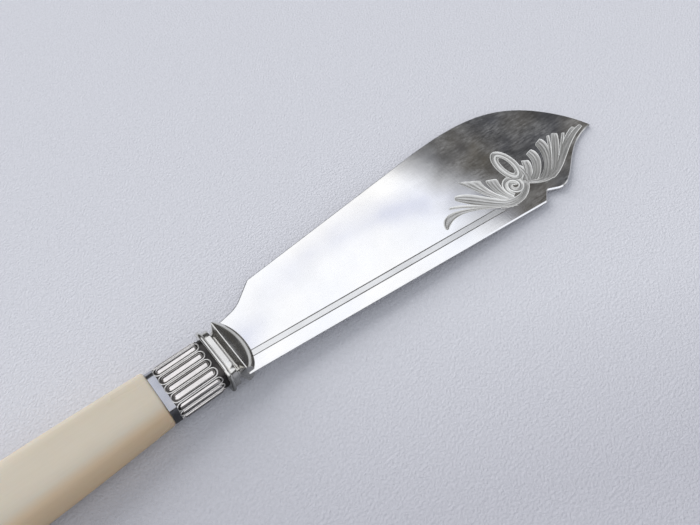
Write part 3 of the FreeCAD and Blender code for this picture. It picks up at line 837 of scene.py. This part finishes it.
def dome(side):
    """A half-moon: level along its ridge, swelling down to the blade's face; side is 1 above and -1 below."""
    inside_ridge = 0.05
    below_face = 0.5
    bpy.ops.mesh.primitive_grid_add(x_subdivisions=DOME_COLUMNS, y_subdivisions=DOME_ROWS, size=2)
    piece = named("dome")
    rise = RIDGE[1] - FACE
    line = pulled(((0, 1), DOME_CREST, DOME_BROW, (1, 0)), DOME_ROWS)
    for vertex in piece.data.vertices:
        y = RIDGE[0] * vertex.co.x
        run, height = line[round((vertex.co.y + 1) / 2 * DOME_ROWS)]
        reach = DOME_REACH * math.sqrt(1 - (y / DOME_HALF_SPAN) ** 2)
        x = RIDGE_END - inside_ridge + (reach + inside_ridge) * run
        vertex.co = (x, y, side * (FACE + rise * height))
    edit(piece, True)
    bpy.ops.mesh.extrude_region_move(TRANSFORM_OT_translate={"value": (0, 0, -side)})
    bpy.ops.transform.resize(value=(1, 1, 0), center_override=(0, 0, side * (FACE - below_face)))
    done()
    outward(piece)
    return piece


def tang():
    inside_flange = 0.5
    bpy.ops.mesh.primitive_cube_add(size=1)
    piece = named("tang")
    for vertex in piece.data.vertices:
        x, half = (-TANG_LENGTH, TANG_END) if vertex.co.x < 0 else (inside_flange, TANG_ROOT)
        vertex.co = (x, math.copysign(half[0], vertex.co.y), math.copysign(half[1], vertex.co.z))
    return piece


def bolster():
    piece = collar()
    for other in (cove(), dome(1), dome(-1), tang()):
        combine(piece, other, "UNION")
    piece.data.materials.clear()
    piece.data.materials.append(BOLSTER_PLATE)
    finish(piece, "bolster", OTHER_CREASE)


# Making the ferrule

def round_ferrule(distance, height):
    """The (y, z) place at a distance round the ferrule from the middle of its top, raised by the height."""
    flat_y = FERRULE_HALF_WIDTH - FERRULE_RADIUS
    flat_z = FERRULE_HALF_HEIGHT - FERRULE_RADIUS
    bend = FERRULE_RADIUS * math.pi / 2
    quarter = flat_y + bend + flat_z
    turns, rest = divmod(distance, 2 * quarter)
    mirrored = rest > quarter
    rest = 2 * quarter - rest if mirrored else rest
    if rest < flat_y:
        y, z = rest, FERRULE_HALF_HEIGHT + height
    elif rest < flat_y + bend:
        angle = (rest - flat_y) / FERRULE_RADIUS
        y = flat_y + (FERRULE_RADIUS + height) * math.sin(angle)
        z = flat_z + (FERRULE_RADIUS + height) * math.cos(angle)
    else:
        y, z = FERRULE_HALF_WIDTH + height, quarter - rest
    z = -z if mirrored else z
    return (-y, -z) if turns % 2 else (y, z)


def wrap(piece, middle):
    """Bends a flat ornament, drawn with Y round the ferrule and Z outwards, onto it at the given distance."""
    for vertex in piece.data.vertices:
        x, round_by, height = vertex.co
        y, z = round_ferrule(middle + round_by, height)
        vertex.co = (x, y, z)


def bar():
    """A long raised bar with round ends and a broad crest."""
    bpy.ops.mesh.primitive_uv_sphere_add(segments=24, ring_count=20, radius=1)
    piece = named("bar")
    for vertex in piece.data.vertices:
        across, up, lengthways = vertex.co
        end = BAR_ENDS[1] - BAR_HALF_WIDTH if lengthways > 0 else BAR_ENDS[0] + BAR_HALF_WIDTH
        crest = abs(up) ** BAR_BREADTH
        height = crest * BAR_RISE if up > 0 else -crest * BAR_BED
        vertex.co = (end + lengthways * BAR_HALF_WIDTH, across * BAR_HALF_WIDTH, height)
    outward(piece)
    piece.data.materials.append(FERRULE_PLATE)
    return piece


def wire():
    """The scalloped wire round a bar: a long loop with round ends."""
    points = []
    steps = 8
    for end, facing in ((WIRE_ENDS[1] - WIRE_HALF_WIDTH, 1), (WIRE_ENDS[0] + WIRE_HALF_WIDTH, -1)):
        for i in range(steps + 1):
            angle = math.pi * (i / steps - 0.5)
            points.append((end + facing * WIRE_HALF_WIDTH * math.cos(angle),
                           facing * WIRE_HALF_WIDTH * math.sin(angle)))
    bpy.ops.curve.primitive_nurbs_path_add()
    path = bpy.context.object
    path.data.splines.clear()
    spline = path.data.splines.new("POLY")
    spline.points.add(len(points) - 1)
    for knot, (x, y) in zip(spline.points, points):
        knot.co = (x, y, WIRE_HEIGHT, 1)
    spline.use_cyclic_u = True
    path.data.bevel_depth = WIRE_RADIUS
    path.data.bevel_resolution = 2
    pick(path)
    bpy.ops.object.convert(target="MESH")
    piece = named("wire")
    outward(piece)
    piece.data.materials.clear()
    piece.data.materials.append(WIRE)
    return piece


def sleeve():
    """The ferrule's plain tube with its raised band, painted a dull bluish grey on the band as the reflection
    it shows, and tarnished in front of it.
    """
    soft = BAND_EASING
    back = -FERRULE_LENGTH
    band_end = back + BAND_LENGTH
    profile = (
        (back, BAND_RISE - soft),
        (back + soft, BAND_RISE),
        (band_end - soft, BAND_RISE),
        (band_end, BAND_RISE - soft),
        (band_end, 0),
        (-FERRULE_GAP, 0),
        (-FERRULE_GAP, -FERRULE_WALL),
        (back, -FERRULE_WALL),
        (back, BAND_RISE - soft),
    )
    stations = []
    for x, grow in profile:
        stations.append((x, 0, 1 + grow / FERRULE_HALF_WIDTH, 1 + grow / FERRULE_HALF_HEIGHT))
    outline = rounded_rectangle(FERRULE_HALF_WIDTH, FERRULE_HALF_HEIGHT, FERRULE_RADIUS, CORNER_STEPS)
    piece = ring_solid("ferrule_plate", outline, stations, tube=True)
    for finish_of in (BAND_PAINTED_REFLECTION, TARNISH):
        piece.data.materials.append(finish_of)
    for polygon in piece.data.polygons:
        if polygon.center.x > band_end + soft:
            polygon.material_index = 1
    return piece


def ferrule():
    piece = sleeve()
    flats = FERRULE_HALF_WIDTH + FERRULE_HALF_HEIGHT - 2 * FERRULE_RADIUS
    pitch = 4 * (flats + FERRULE_RADIUS * math.pi / 2) / LOBE_COUNT
    ornaments = []
    for pattern in (bar(), wire()):
        for i in range(LOBE_COUNT):
            pick(pattern)
            bpy.ops.object.duplicate()
            copy = bpy.context.object
            wrap(copy, (i + 0.5) * pitch)
            ornaments.append(copy)
        bpy.data.objects.remove(pattern)
    pick(piece, *ornaments)
    bpy.ops.object.join()
    finish(piece, "ferrule", OTHER_CREASE)


# Making the handle

def cushion(count=96):
    """A cushion-shaped outline of unit half width, flatter than a circle on all four sides."""
    points = []
    for i in range(count):
        across = math.cos(2 * math.pi * i / count)
        up = math.sin(2 * math.pi * i / count)
        reach = (abs(across) ** SQUARENESS + abs(up) ** SQUARENESS) ** (-1 / SQUARENESS)
        points.append((across * reach, up * reach * HEIGHT_RATIO))
    return points


def swell(behind):
    """The handle's half width at a distance behind the ferrule, smooth through its stations."""
    for i in range(len(HANDLE_STATIONS) - 2):
        if behind <= HANDLE_STATIONS[i + 1][0]:
            break
    total = 0.0
    near = HANDLE_STATIONS[max(0, i - 1):i + 3]
    for place, width in near:
        weight = 1.0
        for other, _ in near:
            if other != place:
                weight *= (behind - other) / (place - other)
        total += weight * width
    return total / 2


def handle_station(behind, inset=0.0):
    """A ring of the handle at a distance behind the ferrule, drawn in by the inset."""
    front, last = HANDLE_STATIONS[0][0], HANDLE_STATIONS[-1][0]
    half = swell(min(max(behind, front), last))
    shift = SHOULDER_OFFSET - behind * math.tan(HANDLE_CANT)
    high = (half * HEIGHT_RATIO - inset) / HEIGHT_RATIO
    return -FERRULE_LENGTH - behind, shift, half - inset, high


def handle():
    front, last = HANDLE_STATIONS[0][0], HANDLE_STATIONS[-1][0]
    shoulder_steps, side_steps, butt_steps = 5, 24, 8
    stations = []
    for i in range(shoulder_steps, -1, -1):
        turn = ROUNDING_ANGLE * i / shoulder_steps
        behind = front - math.sin(turn) * front / math.sin(ROUNDING_ANGLE)
        stations.append(handle_station(behind, 1 - math.cos(turn)))
    for i in range(1, side_steps + 1):
        stations.append(handle_station(front + (last - front) * i / side_steps))
    for i in range(1, butt_steps + 1):
        turn = ROUNDING_ANGLE * i / butt_steps
        behind = last + BUTT_ROUNDING * math.sin(turn)
        stations.append(handle_station(behind, BUTT_ROUNDING * (1 - math.cos(turn))))
    piece = ring_solid("ivory_handle", cushion(), stations)
    inside_handle = 1
    neck = ring_solid(
        "neck",
        rounded_rectangle(FERRULE_HALF_WIDTH - NECK_INSET, FERRULE_HALF_HEIGHT - NECK_INSET,
                          FERRULE_RADIUS - NECK_INSET),
        [(-FERRULE_LENGTH - inside_handle, 0, 1, 1), (NECK_END, 0, 1, 1)])
    combine(piece, neck, "UNION")
    bpy.ops.mesh.primitive_cylinder_add(vertices=48, radius=BORE_RADIUS, depth=BORE_DEPTH,
                                        rotation=(0, math.pi / 2, 0), location=(-BORE_DEPTH / 2, 0, 0))
    bore = named("bore")
    bpy.ops.object.transform_apply(location=True, rotation=True, scale=True)
    combine(piece, bore, "DIFFERENCE")
    piece.data.materials.clear()
    piece.data.materials.append(IVORY)
    finish(piece, "handle", OTHER_CREASE)


blade()
bolster()
ferrule()
handle()
for node, material in (("blade", PLATE), ("bolster", BOLSTER_PLATE), ("ferrule", FERRULE_PLATE),
                       ("handle", IVORY), ("tang_cement", RESIN)):
    solid = frame["nodes"][node]
    solid.data.materials.clear()
    solid.data.materials.append(material)


# The board it lies on: its tone in painted shade on the near side and in painted light farther off, where one
# turns to the other along AWAY, and the part of it that the metal mirrors dark. Distances are in metres.
BOARD_SIZE = 3.0
AWAY = (0.44, 0.90)
TURN_OF_TONE = (-0.085, -0.015)
FOAM_IN_PAINTED_SHADE = (0.585, 0.585, 0.645)
FOAM_IN_PAINTED_LIGHT = (0.725, 0.73, 0.79)
SHADE = (0.11, 0.113, 0.12)
SHADE_ACROSS = (-0.014, -0.006)
SHADE_ALONG = (-0.038, -0.030)
FOAM_RELIEF = 0.0005


def board():
    """A pale board of pressed foam."""
    bpy.ops.object.select_all(action="DESELECT")
    bpy.ops.mesh.primitive_plane_add(size=BOARD_SIZE)
    piece = named("board")
    material, tree, shader = blank("foam_board")
    place = grid_of(tree)
    cells = noise(tree, place, scale=1100, detail=3)
    x, y, _ = split(tree, place)
    # Painted light and shade: the foam turns from a darker tone on the near side to a lighter one farther
    # off, along AWAY
    away = weighed(tree, x, y, AWAY)
    far = spread(tree, away, 0, 1, *TURN_OF_TONE)
    foam = tinted(tree, far, (0.0, FOAM_IN_PAINTED_SHADE), (1.0, FOAM_IN_PAINTED_LIGHT))
    path = tree.nodes.new("ShaderNodeLightPath")
    near_side = spread(tree, y, 1, 0, *SHADE_ACROSS)
    mirrored_dark = reckoned(tree, "MULTIPLY", near_side, path.outputs["Is Glossy Ray"])
    mirrored_dark = reckoned(tree, "MULTIPLY", mirrored_dark, spread(tree, x, 1, 0.4, *SHADE_ALONG))
    pores = noise(tree, place, scale=750, detail=2)
    speckle = tinted(tree, pores, (0.3, (0.93, 0.93, 0.93)), (0.7, (1.0, 1.0, 1.0)))
    foam = mixed(tree, 1.0, foam, speckle, "MULTIPLY")
    foam = mixed(tree, mirrored_dark, foam, SHADE)
    tree.links.new(foam, shader.inputs["Base Color"])
    shader.inputs["Roughness"].default_value = 0.75
    shader.inputs["Specular IOR Level"].default_value = 0.2
    raised(tree, shader, (cells, 0.9, FOAM_RELIEF))
    piece.data.materials.append(material)


board()


# Light: an overcast sky, with trees beyond the point of the blade that only the metal mirrors. A line here is
# a way through the sky, and a height is how far a direction reaches along it.
TREE_LINE = (0.248, 0.280, 0.927)
TREE_TOP = 0.938
TREE_EDGE = (-0.018, 0.005)
TREE_FADE = 1.7
TREE_FOOT = 0.20
FOOT_BLUR = 0.04
EDGE_RAGGED = 0.008
ZENITH = (0.79, 0.83)
NEAR_TREES_FROM = (0.6, 0.8)
NEAR_TREES_TOP = (0.25, 0.31)
TREES_FROM = (-0.5, -0.35)
TREE_DARK = (0.040, 0.044, 0.056)
TREE_LIGHT = (0.096, 0.089, 0.078)
GAP_LINE = (0.362, 0.160, 0.918)
GAP_PLACE = 0.9451
GAP_CORE = 0.001
GAP_REACH = (0.010, 0.009)
GAP_BLUE = (0.66, 0.69, 0.83)
CLOUD_DARK = (0.86, 0.90, 1.0)
CLOUD_LIGHT = (1.0, 1.0, 1.0)
LOW_SKY = (0.55, 0.56, 0.58)
LOW_SKY_HEIGHT = 0.1
MIRRORED_STRENGTH = 1.11
SKY = (0.93, 0.96, 1.0)
SKY_NEAR = 0.78
SKY_FAR = 0.5
SKY_TURN = (-0.8, 0.3)
AHEAD = (0.34, 0.94)


def clouds_between(tree, direction, z):
    """The sky that the metal mirrors: soft clouds, a blue gap between them, and a duller rim."""
    clouds = noise(tree, direction, scale=5.0, detail=3)
    cloud_colour = tinted(tree, clouds, (0.3, CLOUD_DARK), (0.62, CLOUD_LIGHT))
    low_sky = spread(tree, z, 1, 0, TREE_FOOT, TREE_FOOT + LOW_SKY_HEIGHT)
    horizon = mixed(tree, low_sky, cloud_colour, LOW_SKY)
    height = along(tree, direction, GAP_LINE)
    below = spread(tree, height, 0, 1, GAP_PLACE - GAP_REACH[0], GAP_PLACE - GAP_CORE)
    above = spread(tree, height, 1, 0, GAP_PLACE + GAP_CORE, GAP_PLACE + GAP_REACH[1])
    broken = spread(tree, noise(tree, direction, scale=17.0, detail=3), 0.15, 0.9, 0.38, 0.6)
    gap = reckoned(tree, "MULTIPLY", reckoned(tree, "MULTIPLY", below, above), broken)
    return mixed(tree, gap, horizon, GAP_BLUE)


def foliage(tree, direction):
    """Dark boughs with lighter leaves between them."""
    boughs = noise(tree, direction, scale=14.0, detail=3)
    gloom = tinted(tree, boughs, (0.35, TREE_DARK), (0.65, TREE_LIGHT))
    leaves = noise(tree, direction, scale=70.0, detail=5)
    glints = tinted(tree, leaves, (0.35, (0.5, 0.5, 0.5)), (0.68, (1.5, 1.5, 1.5)))
    return mixed(tree, 1.0, gloom, glints, "MULTIPLY")


def where_trees_stand(tree, direction, y, z, ahead):
    """How much trees fill each way: beyond the point of the blade, and low down on the near side."""
    treetops = noise(tree, direction, scale=9.0, detail=4)
    rough_edge = spread(tree, treetops, -EDGE_RAGGED, EDGE_RAGGED)
    height = reckoned(tree, "ADD", along(tree, direction, TREE_LINE), rough_edge)
    open_sky = spread(tree, height, 0, 1, TREE_TOP + TREE_EDGE[0], TREE_TOP + TREE_EDGE[1])
    trees = spread(tree, reckoned(tree, "POWER", open_sky, TREE_FADE), 1, 0, 0, 1)
    for limit in (spread(tree, z, 1, 0, *ZENITH),
                  spread(tree, z, 0, 1, TREE_FOOT - FOOT_BLUR, TREE_FOOT + FOOT_BLUR),
                  spread(tree, ahead, 0, 1, *TREES_FROM)):
        trees = reckoned(tree, "MULTIPLY", trees, limit)
    near = spread(tree, reckoned(tree, "MULTIPLY", y, -1.0), 0, 1, *NEAR_TREES_FROM)
    low = spread(tree, z, 1, 0, *NEAR_TREES_TOP)
    return reckoned(tree, "MAXIMUM", trees, reckoned(tree, "MULTIPLY", near, low))


def sky():
    world = bpy.data.worlds.new("overcast")
    bpy.context.scene.world = world
    world.use_nodes = True
    tree = world.node_tree
    tree.nodes.clear()
    direction = tree.nodes.new("ShaderNodeTexCoord").outputs["Generated"]
    x, y, z = split(tree, direction)
    ahead = weighed(tree, x, y, AHEAD)
    trees = where_trees_stand(tree, direction, y, z, ahead)
    for_metal = tree.nodes.new("ShaderNodeBackground")
    mirrored = mixed(tree, trees, clouds_between(tree, direction, z), foliage(tree, direction))
    tree.links.new(mirrored, for_metal.inputs["Color"])
    for_metal.inputs["Strength"].default_value = MIRRORED_STRENGTH
    plain = tree.nodes.new("ShaderNodeBackground")
    plain.inputs["Color"].default_value = (*SKY, 1)
    tree.links.new(spread(tree, ahead, SKY_NEAR, SKY_FAR, *SKY_TURN), plain.inputs["Strength"])
    path = tree.nodes.new("ShaderNodeLightPath")
    mix = tree.nodes.new("ShaderNodeMixShader")
    tree.links.new(path.outputs["Is Glossy Ray"], mix.inputs["Fac"])
    tree.links.new(plain.outputs["Background"], mix.inputs[1])
    tree.links.new(for_metal.outputs["Background"], mix.inputs[2])
    output = tree.nodes.new("ShaderNodeOutputWorld")
    tree.links.new(mix.outputs["Shader"], output.inputs["Surface"])


# The brighter part of the sky, far off on the side of the curved edge, as a very wide soft sun
SUN_FROM = (-0.15, 0.9, 0.52)
SUN_STRENGTH = 2.3
SUN_WIDTH = math.radians(65)
SUN_COLOUR = (1.0, 0.99, 0.97)


def lamp():
    bpy.ops.object.light_add(type="SUN")
    sun = bpy.context.object
    sun.data.energy = SUN_STRENGTH
    sun.data.angle = SUN_WIDTH
    sun.data.color = SUN_COLOUR
    sun.rotation_euler = Vector(SUN_FROM).to_track_quat("Z", "Y").to_euler()
    sun.visible_glossy = False


# Camera, in metres and millimetres of film
CAMERA_PLACE = Vector((-0.05595, -0.11390, 0.23081))
CAMERA_AIM = Vector((0.02929, -0.00073, 0.008))
CAMERA_ROLL = math.radians(-2.692)
LENS = 35.08
FILM_WIDTH = 36.0


def camera():
    bpy.ops.object.camera_add(location=CAMERA_PLACE)
    view = bpy.context.object
    turn = (CAMERA_AIM - CAMERA_PLACE).to_track_quat("-Z", "Y").to_matrix().to_4x4()
    view.matrix_world = Matrix.Translation(CAMERA_PLACE) @ turn @ Matrix.Rotation(CAMERA_ROLL, 4, "Z")
    view.data.lens = LENS
    view.data.sensor_width = FILM_WIDTH
    view.data.clip_start = 0.01
    bpy.context.scene.camera = view


sky()
lamp()
camera()
bpy.context.scene.view_settings.view_transform = "Standard"
